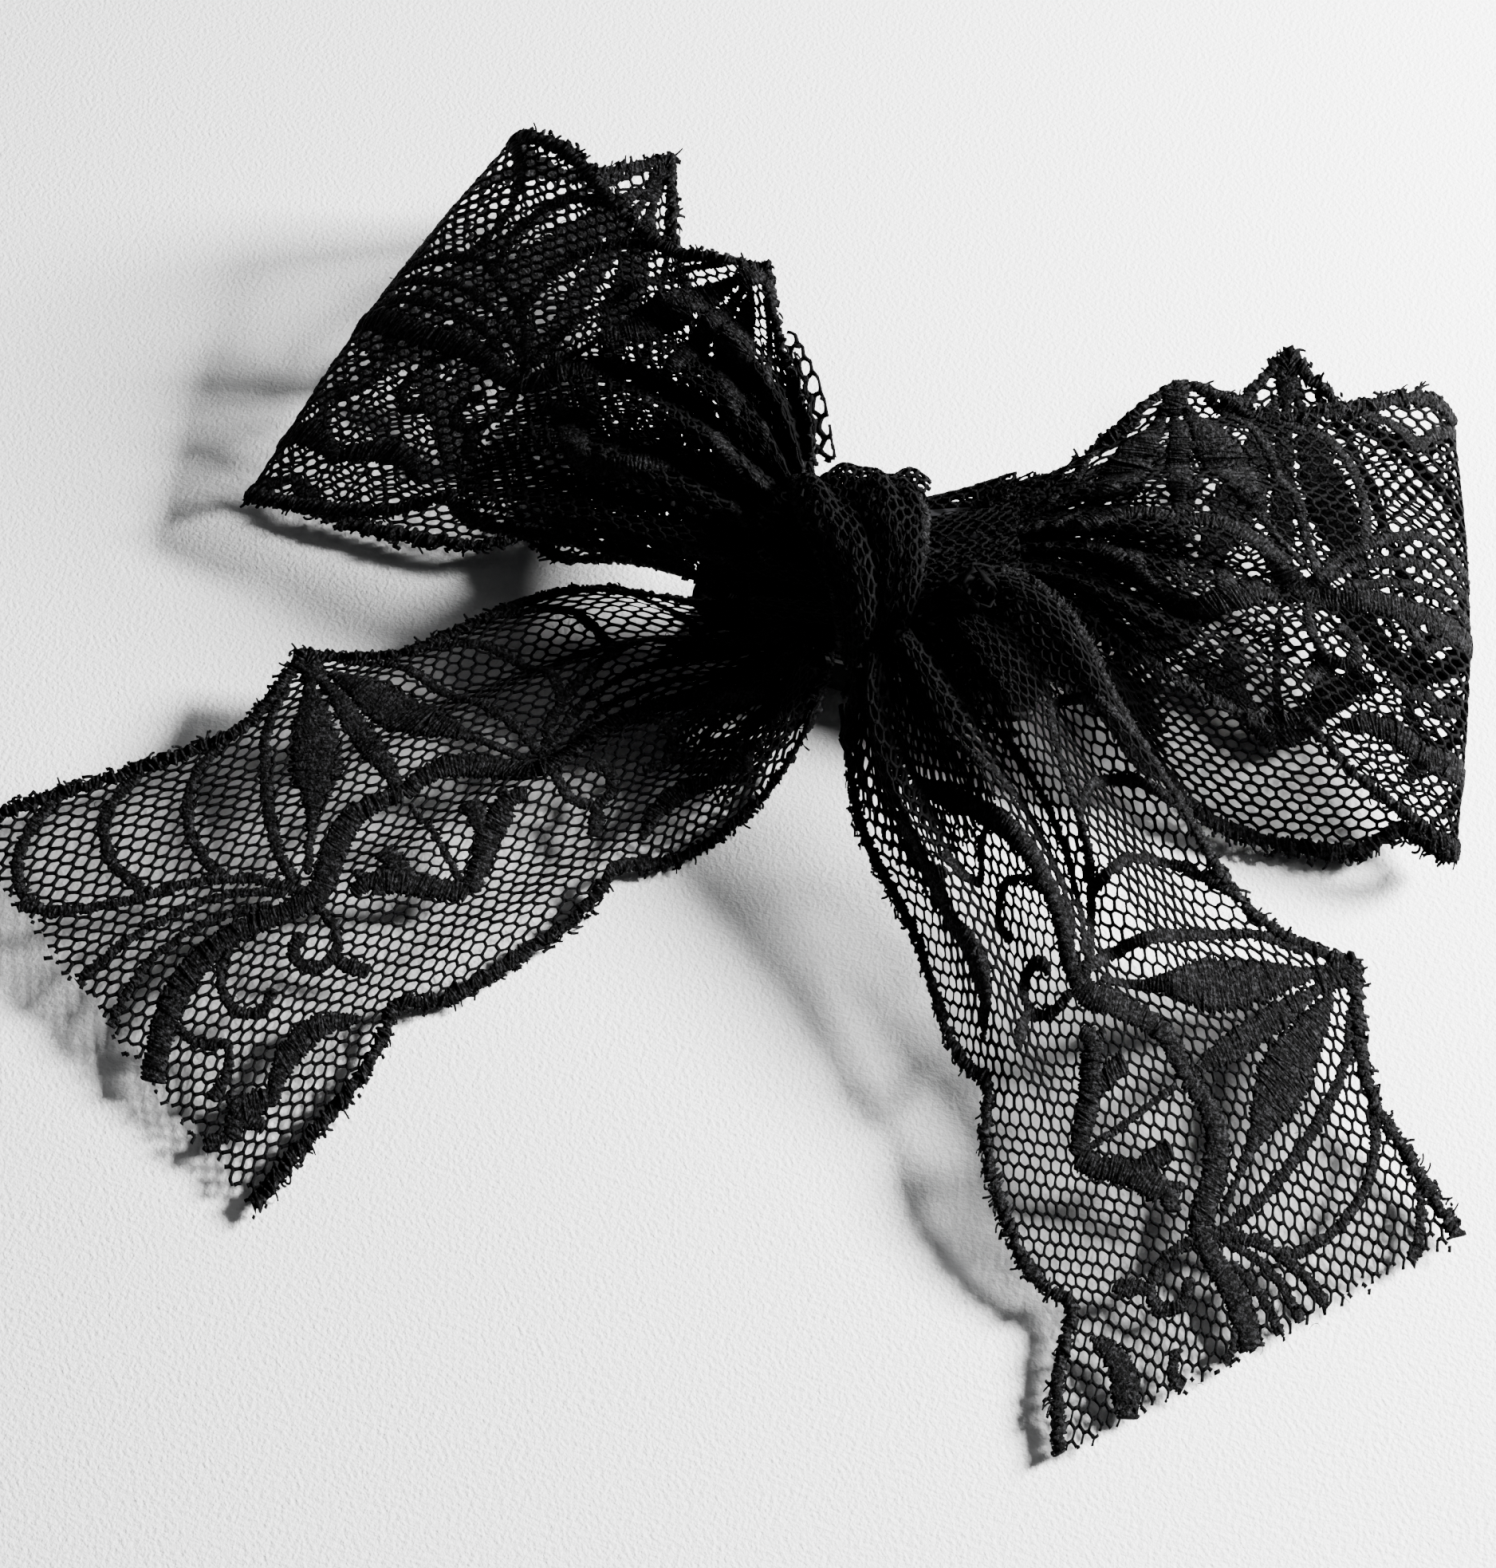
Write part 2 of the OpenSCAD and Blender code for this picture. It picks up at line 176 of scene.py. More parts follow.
def tube_rings(path, radius, sides, lift=0.0):
    """path: (tubes, rings, 2) flat points; radius: (tubes, rings). Rings of (u, v, height)."""
    ahead = np.gradient(path, axis=1)
    ahead /= np.linalg.norm(ahead, axis=2, keepdims=True) + 1e-9
    side = np.stack([-ahead[..., 1], ahead[..., 0]], -1)
    angle = TAU * (np.arange(sides) + 0.5) / sides
    flat = path[:, :, None] + side[:, :, None] * (radius[..., None] * np.cos(angle))[..., None]
    height = radius[..., None] * np.sin(angle) + lift
    return np.concatenate([flat, np.broadcast_to(height, flat.shape[:3])[..., None]], -1)


def wander(p):
    """A slow drift of the net, so that its rows aren't ruled."""
    u, v = p[..., 0], p[..., 1]
    du = 0.22 * np.sin(0.31 * v + 0.17 * u) + 0.12 * np.sin(0.73 * v - 0.41 * u + 1.3)
    dv = 0.2 * np.sin(0.27 * u + 0.19 * v + 0.7) + 0.1 * np.sin(0.63 * u - 0.5 * v)
    return np.stack([u + du, v + dv], -1)


def net_threads(threads, u0, u1, low, high, cuts, rng, fine=1.0, fold=None, slot=0):
    """Hexagonal net from u0 to u1, between the borders low(u) and high(u). A cut end is left ragged."""
    cell_u, cell_v, short = CELL_U * fine, CELL_V * fine, SHORT_EDGE * fine
    cols = np.arange(math.floor(u0 / cell_u) - 1, math.ceil(u1 / cell_u) + 2)
    rows = np.arange(-4, int(RIBBON / cell_v) + 5)
    ci, rj = np.meshgrid(cols, rows, indexing="ij")
    cu = (ci + 0.5 * (rj % 2)) * cell_u
    cv = rj * cell_v
    centre = np.stack([cu, cv], -1).reshape(-1, 2)
    right_low = centre + [cell_u / 2, -short / 2]
    right_high = centre + [cell_u / 2, short / 2]
    apex = centre + [0, cell_v - short / 2]
    left_high = centre + [-cell_u / 2, short / 2]

    def jitter(p):
        """Shifts a corner a little, the same way for every side that meets there."""
        key = np.round(p * 50).astype(np.int64)
        seed = (key[:, 0] * 7919 + key[:, 1] * 104729) % 9973
        return wander(p + 0.07 * np.stack([np.sin(seed * 12.9898), np.cos(seed * 78.233)], -1))

    sides = [(right_low, right_high, CROSS_R, 2), (right_high, apex, TWIST_R, 3),
             (apex, left_high, TWIST_R, 3)]
    for start, end, r_mid, pieces in sides:
        a, b = jitter(start), jitter(end)
        ragged = rng.uniform(-RAGGED, RAGGED, len(a))
        start_u = u0 + (CUT_RAGGED * ragged if cuts[0] else 0)
        end_u = u1 + (CUT_RAGGED * ragged if cuts[1] else 0)

        def inside(p):
            u, v = p[:, 0], p[:, 1]
            return (v < high(u) + ragged) & (v > low(u) + ragged) & (u > start_u) & (u < end_u)

        ia, ib = inside(a), inside(b)
        only = ia ^ ib
        near = np.where(ia[:, None], a, b)
        far = np.where(ia[:, None], b, a)
        far = np.where(only[:, None], near + (far - near) * rng.uniform(0.3, 0.9, (len(a), 1)), far)
        keep = ia | ib
        near, far = near[keep], far[keep]
        f = np.linspace(0, 1, pieces + 1)[None, :, None]
        path = near[:, None] * (1 - f) + far[:, None] * f
        bow = np.sin(np.pi * f[..., 0]) * rng.normal(0, 0.035, (len(near), 1))
        d = far - near
        d /= np.linalg.norm(d, axis=1, keepdims=True) + 1e-9
        path = path + bow[..., None] * np.stack([-d[:, 1], d[:, 0]], -1)[:, None]
        radius = KNOT_R + (r_mid - KNOT_R) * np.sin(np.pi * f[..., 0])
        radius = radius * rng.uniform(0.88, 1.12, (len(near), 1))
        rings = tube_rings(path, radius, 4, rng.uniform(-0.04, 0.04, (len(near), 1, 1)))
        if fold:
            rings[..., 2] += fold(rings[..., 0], rings[..., 1])
        threads.add(rings, slot)


STITCH = 0.42  # pitch of the satin stitches
SIDES = 8  # corners of a cord's section


def satin(threads, points, widths, height, rng, u_limits, fuzz=1.0, tip=0.0):
    """A cord or a filled shape of satin stitches that cross the curve side by side."""
    path = curve(points, 14)
    step = np.linalg.norm(np.diff(path, axis=0), axis=1)
    arc = np.concatenate([[0], np.cumsum(step)])
    stitches = max(int(arc[-1] / STITCH), 2)
    width_at = np.interp(np.linspace(0, 1, 60), np.linspace(0, 1, len(widths)), widths)
    at = np.repeat(np.arange(stitches), 3) * STITCH + np.tile([-0.46, -0.22, 0.22], stitches) * STITCH
    at = np.append(at + 0.5 * STITCH, arc[-1])
    crest = np.append(np.tile([0.0, 1.0, 1.0], stitches), 0.0)
    number = np.append(np.repeat(np.arange(stitches), 3), stitches - 1)
    centre = np.stack([np.interp(at, arc, path[:, k]) for k in (0, 1)], -1)
    ahead = np.stack([np.interp(at, arc, np.gradient(path[:, k], arc)) for k in (0, 1)], -1)
    ahead /= np.linalg.norm(ahead, axis=1, keepdims=True) + 1e-9
    side = np.stack([-ahead[:, 1], ahead[:, 0]], -1)
    share = at / arc[-1]
    half = 0.5 * np.interp(share, np.linspace(0, 1, 60), width_at)
    ends = np.clip(np.minimum(at + 0.25, arc[-1] - at + 0.25) / 0.5, 0.45, 1)
    jit = rng.normal(0, 1, (5, stitches))[:, number]
    half = (half * ends + 0.07 * fuzz * jit[0]) * (0.86 + 0.14 * crest)
    shift = 0.08 * fuzz * jit[1]
    slant = 0.16 * fuzz * jit[2] + 0.1
    tall = 0.5 * height * ends * (1 + 0.16 * fuzz * jit[3]) * (0.5 + 0.5 * crest)
    angle = TAU * np.arange(SIDES) / SIDES
    lateral = half[:, None] * np.cos(angle) + shift[:, None]
    along = lateral * slant[:, None]
    flat = centre[:, None] + side[:, None] * lateral[..., None] + ahead[:, None] * along[..., None]
    # a flattened oval: satin lies flat on top and tucks in at its sides
    lift = tall[:, None] * np.sign(np.sin(angle)) * np.abs(np.sin(angle)) ** 0.7 + 0.03 * jit[4][:, None]
    rings = np.concatenate([flat, lift[..., None]], -1)
    keep = (centre[:, 0] > u_limits[0]) & (centre[:, 0] < u_limits[1])
    for part in (keep & (centre[:, 0] < tip), keep & (centre[:, 0] >= tip)):
        runs = np.flatnonzero(np.diff(np.concatenate([[0], part.astype(int), [0]])))
        for a, b in runs.reshape(-1, 2):
            if b - a >= 4:
                threads.add(rings[None, a:b], 1)


def fray(threads, u0, u1, edge, outward, peaks, rng, per_mm=1.7):
    """Short curled ends of cut net along a border."""
    n = int((u1 - u0) * per_mm)
    u = rng.uniform(u0, u1, n)
    base = np.stack([u, border(edge, u, peaks) + outward * rng.uniform(0.3, 0.7, n)], -1)
    length = rng.uniform(0.4, 1.35, n)
    lean = rng.normal(0, 0.6, n)
    curl = rng.normal(0, 2.5, n)
    f = np.linspace(0, 1, 6)
    heading = lean[:, None] + curl[:, None] * f
    step = length[:, None] / 5
    du = np.cumsum(np.sin(heading) * step, axis=1)
    dv = np.cumsum(np.cos(heading) * step, axis=1) * outward
    path = base[:, None] + np.stack([du, dv], -1)
    radius = np.broadcast_to(0.19 - 0.05 * f, (n, 6)) * rng.uniform(0.8, 1.15, (n, 1))
    rings = tube_rings(path, radius, 4)
    rings[..., 2] += (rng.normal(0, 0.35, (n, 1)) * f**1.5)[..., None]
    threads.add(rings, 1)


def fuzz_hairs(threads, cords, rng, per_mm=0.12):
    """Single fibres that stand off the embroidery."""
    for points, widths, _, _ in cords:
        path = curve(points, 8)
        n = int(np.linalg.norm(np.diff(path, axis=0), axis=1).sum() * per_mm)
        if n == 0:
            continue
        pick = rng.integers(0, len(path), n)
        base = path[pick] + rng.normal(0, 0.35 * max(widths), (n, 2))
        heading = rng.uniform(0, TAU, n)[:, None] + rng.normal(0, 1.2, (n, 1)) * np.linspace(0, 1, 5)
        step = rng.uniform(0.8, 2.0, (n, 1)) / 5
        walk = np.stack([np.cumsum(np.cos(heading) * step, 1), np.cumsum(np.sin(heading) * step, 1)], -1)
        path3 = base[:, None] + walk
        rings = tube_rings(path3, np.full((n, 5), 0.04), 4)
        rise = rng.uniform(0.3, 0.7, (n, 1)) * np.sin(np.pi * np.linspace(0.15, 0.9, 5))
        rings[..., 2] += rise[..., None]
        threads.add(rings, 1)


def pattern_cords(u0, u1, peaks):
    """Every cord of the pattern that meets u0..u1, as (points, widths, height, u limits). Each peak's
    cords stop halfway to the next peak."""
    out = []
    for peak in peaks:
        others = [p for p in peaks if p != peak]
        low = max([(peak + p) / 2 for p in others if p < peak] + [u0 - 0.2])
        high = min([(peak + p) / 2 for p in others if p > peak] + [u1 + 0.2])
        for points, widths, height in SIDE_CORDS + [PETAL]:
            for mirror in (1, -1):
                out.append(([(peak + mirror * u, v) for u, v in points], widths, height, (low, high)))
        for points, widths, height in CENTRE_CORDS:
            out.append(([(peak + u, v) for u, v in points], widths, height, (low, high)))
    return [c for c in out if max(p[0] for p in c[0]) > c[3][0] and min(p[0] for p in c[0]) < c[3][1]]


LONG_REACH = 24  # gathers that reach further than this have a third layer


def gathers(threads, root, u0, u1, reach, rng):
    """The folds that the knot pulls together lie over one another: more layers of net near it, and
    three of them where the folds reach far."""
    inner = root < (u0 + u1) / 2
    a, b = (root, root + reach) if inner else (root - reach, root)
    for number in range(1, 4 if reach > LONG_REACH else 3):
        phase = rng.uniform(0, TAU)
        waves = rng.uniform(5.5, 8)

        def fold(u, v):
            near = np.clip(1 - np.abs(u - root) / reach, 0, 1)
            ripple = np.sin(TAU * v / waves + phase + 0.05 * u) + 0.5 * np.sin(TAU * v / 3.7 + 2 * phase)
            return -0.25 + near * (0.95 * ripple - 0.5 * number)

        trim = reach * (0.12 + 0.08 * number)

        def low(u):
            return 0.4 + 0 * u + 3 * np.clip(np.abs(u - root) - trim, 0, None) / reach

        def high(u):
            return 46 - 30 * np.clip(np.abs(u - root) - trim, 0, None) / reach * (0.4 + 0.5 * number)

        net_threads(threads, a, b, low, high, (not inner, inner), rng, 0.97, fold, 2)


NET_BEYOND = 0.95  # how far the net goes past the middle of the border cords
BORDER_WIDTH, BORDER_HEIGHT, BORDER_FUZZ = 1.75, 0.95, 2.0


def lace_threads(u0, u1, cuts, peaks, tip, roots, reach, seed):
    """The net, embroidery and frayed borders of the ribbon from u0 to u1. The embroidery's cords and the
    border cords are broken at tip.
    """
    rng = np.random.default_rng(seed)
    threads = Threads()
    net_threads(threads, u0, u1, lambda u: border(HEM, u, peaks) - NET_BEYOND,
                lambda u: border(SCALLOP, u, peaks) + NET_BEYOND, cuts, rng)
    for root in roots:
        gathers(threads, root, u0, u1, reach, rng)
    cords = pattern_cords(u0, u1, peaks)
    for points, widths, height, limits in cords:
        satin(threads, points, widths, height, rng, limits, tip=tip)
    us = np.arange(u0 - 2, u1 + 2.01, 1.0)
    for edge in (SCALLOP, HEM):
        satin(threads, np.stack([us, border(edge, us, peaks)], -1), [BORDER_WIDTH], BORDER_HEIGHT, rng,
              (u0 - 0.2, u1 + 0.2), BORDER_FUZZ, tip)
    fray(threads, u0, u1, SCALLOP, 1, peaks, rng)
    fray(threads, u0, u1, HEM, -1, peaks, rng)
    fuzz_hairs(threads, cords, rng)
    return threads


# ---------------------------------------------------------------- surfaces
# Edge curves of each stretch, the same as in the CAD model, from the knot outwards
LOOP_LEFT_TOP = [
    (-10, 12, 23), (-14, 21, 28), (-22, 29, 31), (-39, 37, 30), (-56, 49, 24.5),
    (-60, 54, 19.5), (-57, 58, 14), (-46, 60.5, 9), (-34, 46, 8), (-22, 30, 10), (-11, 12, 14),
]
LOOP_LEFT_BOTTOM = [
    (-11, -2, 17.5), (-21, -4, 17), (-36, -4, 15), (-55, -4, 11), (-72, -4, 7.5),
    (-75, -3, 5), (-72, -2, 2.5), (-57, -1, 2), (-41, 0, 4.5), (-27, 0, 10), (-12, -1, 12),
]
LOOP_RIGHT_TOP = [
    (9, 10, 22), (15, 16, 26), (27, 28, 31), (41, 36, 29), (52.5, 45.5, 24),
    (55.5, 48.5, 19), (52, 51, 14), (36, 56, 9), (24, 44, 8), (14, 28, 10), (9, 12, 14),
]
LOOP_RIGHT_BOTTOM = [
    (9, 3, 17.5), (22, 6, 18), (37, 1, 15), (54, 0, 11), (68, -3, 8),
    (71, -3, 5.2), (68, -4, 2.2), (52, -7, 1.5), (39, -7, 4.2), (27, -2, 11), (10, 0, 12.5),
]
TAIL_LEFT_TOP = [
    (-8, -3, 13), (-20, -3, 10), (-34, -4, 8), (-46, -13, 8), (-58, -23.5, 7.5), (-72, -40, 6),
    (-87, -57, 5),
]
TAIL_LEFT_BOTTOM = [
    (-2, -9, 12), (-3, -15, 5), (-6, -24, 2), (-12, -34, 1.2), (-22, -49, 1.2), (-32, -66, 1.2),
    (-38, -86, 1.2),
]
TAIL_RIGHT_TOP = [
    (12, -1, 23.5), (16, 3, 24), (24, 1, 23), (34, -6, 17), (49, -14, 9), (65, -22, 4),
    (75, -33, 2.5), (84, -45, 1.5),
]
TAIL_RIGHT_BOTTOM = [
    (4, -11, 16), (5, -17, 13), (10, -26, 10), (20, -36.5, 8.5), (30, -51.5, 6.5), (38, -63, 4),
    (45, -71, 2.2), (51, -83, 1.2),
]


def spline_at(points, s):
    """Points of a smooth curve through points at shares s of its length; straight beyond its ends."""
    p = np.asarray(points, float)
    last = len(p) - 1
    x = np.clip(s, 0, 1) * last
    i = np.minimum(x.astype(int), last - 1)
    f = (x - i)[..., None]
    a, b = p[np.maximum(i - 1, 0)], p[i]
    c, d = p[i + 1], p[np.minimum(i + 2, last)]
    on = 0.5 * (2 * b + (c - a) * f + (2 * a - 5 * b + 4 * c - d) * f**2 + (3 * b - a - 3 * c + d) * f**3)
    over = (s - np.clip(s, 0, 1))[..., None] * last
    return on + over * np.where(over > 0, p[-1] - p[-2], p[1] - p[0])


def smooth_normals(grid):
    along = np.gradient(grid, axis=0)
    across = np.gradient(grid, axis=1)
    n = np.cross(along, across)
    return n / (np.linalg.norm(n, axis=2, keepdims=True) + 1e-12)


TABLE_GAP = 0.02  # the lowest thread's height over the table


class Surface:
    """A curved stretch of ribbon, sampled on a grid of u and v."""

    STEP = 0.4
    V_LOW, V_HIGH = -4.0, 56.0

    def __init__(self, grid, u0, u1, v_range=(V_LOW, V_HIGH)):
        self.grid, self.v_range = grid, v_range
        self.normals = smooth_normals(grid)
        if u1 < u0:
            self.grid, self.normals = self.grid[::-1], -self.normals[::-1]
            u0, u1 = u1, u0
        self.u0, self.u1 = u0, u1

    def place(self, points):
        """(u, v, height) on the flat pattern to positions in millimetres."""
        nu, nv = self.grid.shape[:2]
        x = np.clip((points[:, 0] - self.u0) / (self.u1 - self.u0) * (nu - 1), 0, nu - 1.001)
        low, high = self.v_range
        y = np.clip((points[:, 1] - low) / (high - low) * (nv - 1), 0, nv - 1.001)
        i, j = x.astype(int), y.astype(int)
        fx, fy = (x - i)[:, None], (y - j)[:, None]

        def mix(g):
            near = g[i, j] * (1 - fx) + g[i + 1, j] * fx
            far = g[i, j + 1] * (1 - fx) + g[i + 1, j + 1] * fx
            return near * (1 - fy) + far * fy

        normal = mix(self.normals)
        normal /= np.linalg.norm(normal, axis=1, keepdims=True) + 1e-12
        placed = mix(self.grid) + normal * points[:, 2:]
        placed[:, 2] = np.maximum(placed[:, 2], TABLE_GAP)
        return placed


FOLD_BULGE = 2.0  # how far a loop's fold bows out between its corners
FOLD_SHARE = 0.09  # half the length that bows out, as a share of the loop's edge
LIE_HEIGHT = 0.7  # the ribbon's middle where it lies on the table
SLACK = 0.93  # the ribbon pleats where the rails are closer than this share of its width
PLEAT_DEPTH = 0.8  # the pleats' height, over the height that would take up all the spare width


def make_surface(bottom, top, crown, pleats, loop, u_of, s0=-0.02, s1=1.02):
    """Samples a stretch. u_of(arc, s) gives the pattern's u at a place along the stretch; pleats is
    (number, phase, drift): gathers whose depth takes up the width that the knot squeezes out."""
    s = np.linspace(s0, s1, 1500)
    low, high = spline_at(bottom, s), spline_at(top, s)
    mid = (low + high) / 2
    arc = np.concatenate([[0], np.cumsum(np.linalg.norm(np.diff(mid, axis=0), axis=1))])
    arc -= np.interp(0, s, arc)
    u = u_of(arc, s)
    marks = np.interp([0, 0.5, 1], s, u)
    steps = int(abs(u[-1] - u[0]) / Surface.STEP)
    want = np.linspace(u[0], u[-1], steps)
    order = np.argsort(u)
    s = np.interp(want, u[order], s[order])
    low, high = spline_at(bottom, s), spline_at(top, s)
    v = np.linspace(Surface.V_LOW, Surface.V_HIGH, int((Surface.V_HIGH - Surface.V_LOW) / Surface.STEP))
    t = v / RIBBON
    inner = np.clip(t, 0, 1)
    s_in = np.clip(s, 0, 1)
    swell = crown * (np.cos(np.pi * s_in) * np.sin(np.pi * np.abs(2 * s_in - 1)) if loop
                     else np.sin(np.pi * s_in))
    grid = low[:, None] * (1 - t[:, None]) + high[:, None] * t[:, None]
    grid[..., 2] += swell[:, None] * np.sin(np.pi * inner)
    if loop:
        outwards = np.array([np.sign(mid[len(mid) // 2, 0]), 0, 0])
        bulge = FOLD_BULGE * np.exp(-((s - 0.5) / FOLD_SHARE) ** 2)
        grid += (bulge[:, None] * np.sin(np.pi * inner))[..., None] * outwards
    width = np.linalg.norm(high - low, axis=1)
    squeeze = np.maximum(RIBBON * SLACK / width, 1)
    count, phase, drift = pleats
    depth = width / (TAU * count) * np.sqrt(2 * (squeeze**2 - 1)) * PLEAT_DEPTH
    wave = (np.sin(TAU * (count * t[None] + phase + drift * s[:, None]))
            + 0.35 * np.sin(TAU * (1.7 * count * t[None] + 2.3 * phase - drift * s[:, None])))
    grid = grid + smooth_normals(grid) * (depth[:, None] * wave)[..., None]
    grid[..., 2] = np.maximum(grid[..., 2], LIE_HEIGHT)
    return grid, want, marks


class Stretch:
    """A stretch's surface, and the pattern's u at its two ends and halfway, where a loop folds."""

    def __init__(self, grid, u, marks, peaks):
        self.peaks = peaks
        self.surface = Surface(grid, u[0], u[-1])
        self.low, self.tip, self.high = sorted(marks)


def loop_surface(bottom, top, crown, pleats, front_peak, back_peak, direction):
    """The peaks are shares of the rails. direction is 1 if u grows outwards on the upper leaf, else -1."""
    peaks = []

    def u_of(arc, s):
        a, b = np.interp([front_peak, back_peak], s, arc)
        peaks.extend([0, direction * (b - a)])
        return direction * (arc - a)

    return Stretch(*make_surface(bottom, top, crown, pleats, True, u_of), peaks)


def tail_surface(bottom, top, crown, pleats, peak_arc, direction):
    def u_of(arc, s):
        return direction * (arc - peak_arc)

    return Stretch(*make_surface(bottom, top, crown, pleats, False, u_of), [0])


STRETCHES = {
    "left_loop": loop_surface(LOOP_LEFT_BOTTOM, LOOP_LEFT_TOP, 3, (6, 0.1, 0.6), 0.2, 0.7, -1),
    "right_loop": loop_surface(LOOP_RIGHT_BOTTOM, LOOP_RIGHT_TOP, 3, (6, 0.35, 0.5), 0.2, 0.7, 1),
    "left_tail": tail_surface(TAIL_LEFT_BOTTOM, TAIL_LEFT_TOP, 2, (4, 0.2, 0.3), 50, -1),
    "right_tail": tail_surface(TAIL_RIGHT_BOTTOM, TAIL_RIGHT_TOP, 2, (4, 0.55, 0.2), 58, 1),
}


# ---------------------------------------------------------------- meshes
def mesh_object(name, points, faces, slots, materials):
    mesh = bpy.data.meshes.new(name)
    mesh.vertices.add(len(points))
    mesh.vertices.foreach_set("co", (np.asarray(points) * MM).astype(np.float32).ravel())
    mesh.loops.add(faces.size)
    mesh.loops.foreach_set("vertex_index", faces.astype(np.int32).ravel())
    mesh.polygons.add(len(faces))
    mesh.polygons.foreach_set("loop_start", np.arange(0, faces.size, faces.shape[1], dtype=np.int32))
    mesh.polygons.foreach_set("material_index", slots.astype(np.int32))
    mesh.polygons.foreach_set("use_smooth", np.ones(len(faces), bool))
    for m in materials:
        mesh.materials.append(m)
    mesh.update(calc_edges=True)
    mesh.validate()
    obj = bpy.data.objects.new(name, mesh)
    bpy.context.scene.collection.objects.link(obj)
    return obj


def principled(name, colour, roughness, **extra):
    mat = bpy.data.materials.new(name)
    mat.use_nodes = True
    node = mat.node_tree.nodes["Principled BSDF"]
    node.inputs["Base Color"].default_value = (*colour, 1)
    node.inputs["Roughness"].default_value = roughness
    for key, value in extra.items():
        node.inputs[key.replace("_", " ")].default_value = value
    return mat, node


def noise(mat, scale, detail=3.0):
    coords = mat.node_tree.nodes.new("ShaderNodeTexCoord")
    tex = mat.node_tree.nodes.new("ShaderNodeTexNoise")
    tex.inputs["Scale"].default_value = scale
    tex.inputs["Detail"].default_value = detail
    mat.node_tree.links.new(coords.outputs["Object"], tex.inputs["Vector"])
    return tex


def ramp(mat, source, stops, target):
    node = mat.node_tree.nodes.new("ShaderNodeValToRGB")
    for element, (at, colour) in zip(node.color_ramp.elements, stops):
        element.position = at
        element.color = (*colour, 1)
    mat.node_tree.links.new(source, node.inputs["Fac"])
    mat.node_tree.links.new(node.outputs["Color"], target)


def bump(mat, node, source, strength, distance):
    b = mat.node_tree.nodes.new("ShaderNodeBump")
    b.inputs["Strength"].default_value = strength
    b.inputs["Distance"].default_value = distance
    mat.node_tree.links.new(source, b.inputs["Height"])
    mat.node_tree.links.new(b.outputs["Normal"], node.inputs["Normal"])


def net_material():
    mat, node = principled("net_yarn", (0.006, 0.006, 0.0065), 0.8)
    tone = noise(mat, 900.0)
    ramp(mat, tone.outputs["Fac"], [(0.3, (0.001, 0.001, 0.0011)), (0.75, (0.0025, 0.0025, 0.0026))],
         node.inputs["Base Color"])
    bump(mat, node, noise(mat, 4200.0).outputs["Fac"], 0.6, 0.00006)
    node.inputs["Specular IOR Level"].default_value = 0.03
    return mat


def satin_material():
    mat, node = principled("satin_thread", (0.007, 0.007, 0.0075), 0.72)
    # The colour's noise: near-black thread with bright random specks, which are painted glints of light on
    # the stitches.
    tone = noise(mat, 2100.0, 4.0)
    ramp(mat, tone.outputs["Fac"], [(0.47, (0.0004, 0.0004, 0.0004)), (0.7, (0.016, 0.016, 0.017))],
         node.inputs["Base Color"])
    bump(mat, node, noise(mat, 3000.0, 4.0).outputs["Fac"], 1.0, 0.0004)
    node.inputs["Specular IOR Level"].default_value = 0.04
    return mat


def paper_material():
    mat, node = principled("white_sheet", (0.86, 0.86, 0.86), 0.75)
    bump(mat, node, noise(mat, 1900.0, 2.0).outputs["Fac"], 0.6, 0.0003)
    return mat


def packed_material():
    """Net folded so tightly that only its cells' relief is left, as a bump, with painted shade in the colour
    that darkens the cells' hollows.
    """
    mat, node = principled("packed_net", (0.004, 0.004, 0.0045), 0.85)
    coords = mat.node_tree.nodes.new("ShaderNodeTexCoord")
    cells = mat.node_tree.nodes.new("ShaderNodeTexVoronoi")
    cells.feature = "DISTANCE_TO_EDGE"
    cells.inputs["Scale"].default_value = 620.0
    mat.node_tree.links.new(coords.outputs["Object"], cells.inputs["Vector"])
    # painted shade: each cell's colour darkens towards its middle, where its hollow is
    ramp(mat, cells.outputs["Distance"], [(0.05, (0.011, 0.011, 0.012)), (0.22, (0.0012, 0.0012, 0.0014))],
         node.inputs["Base Color"])
    bump(mat, node, cells.outputs["Distance"], -0.9, 0.0003)
    node.inputs["Specular IOR Level"].default_value = 0.05
    return mat


NET, SATIN, PACKED = net_material(), satin_material(), packed_material()


def lace_pieces(parts, stretch, cuts, roots, reach, seed):
    """Lays the pattern on a stretch and splits it into pieces: (name, node, u0, u1, held); held is not used.
    """
    u0, u1 = min(p[2] for p in parts), max(p[3] for p in parts)
    tip = stretch.tip if len(parts) > 1 else u1 + 9
    threads = lace_threads(u0, u1, cuts, stretch.peaks, tip, roots, reach, seed)
    flat, faces, slots, owners = threads.arrays()
    points = stretch.surface.place(flat)
    for name, node, a, b, held in parts:
        pair = []
        for slot, kind in enumerate(("net", "embroidery", "folds")):
            own = ((owners < tip) == (a < tip)) & (slots == slot)
            used, index = np.unique(faces[own], return_inverse=True)
            pair.append(mesh_object(f"{kind}_{name}", points[used], index.reshape(-1, 4), 0 * slots[own],
                                    [(NET, SATIN, NET)[slot]]))
        declare_lace(pair, [node])


def declare_lace(pieces, nodes):
    """Attaches the pieces to the bow's body and hides the CAD parts that they take the place of. The first
    of the pieces is the net, the ribbon's cloth; the others are on it.
    """
    for piece in pieces:
        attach(piece, "bow")
        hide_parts(*nodes)


def loop_pieces(side, front_is_high, reach, seed):
    stretch = STRETCHES[side + "_loop"]
    halves = [(stretch.low, stretch.tip), (stretch.tip, stretch.high)]
    front, back = halves[::-1] if front_is_high else halves
    lace_pieces([(f"loop_{side}_front", f"loop_{side}_front", *front, "folded"),
                 (f"loop_{side}_back", f"loop_{side}_back", *back, "folded")],
                stretch, (False, False), (stretch.low, stretch.high), reach, seed)


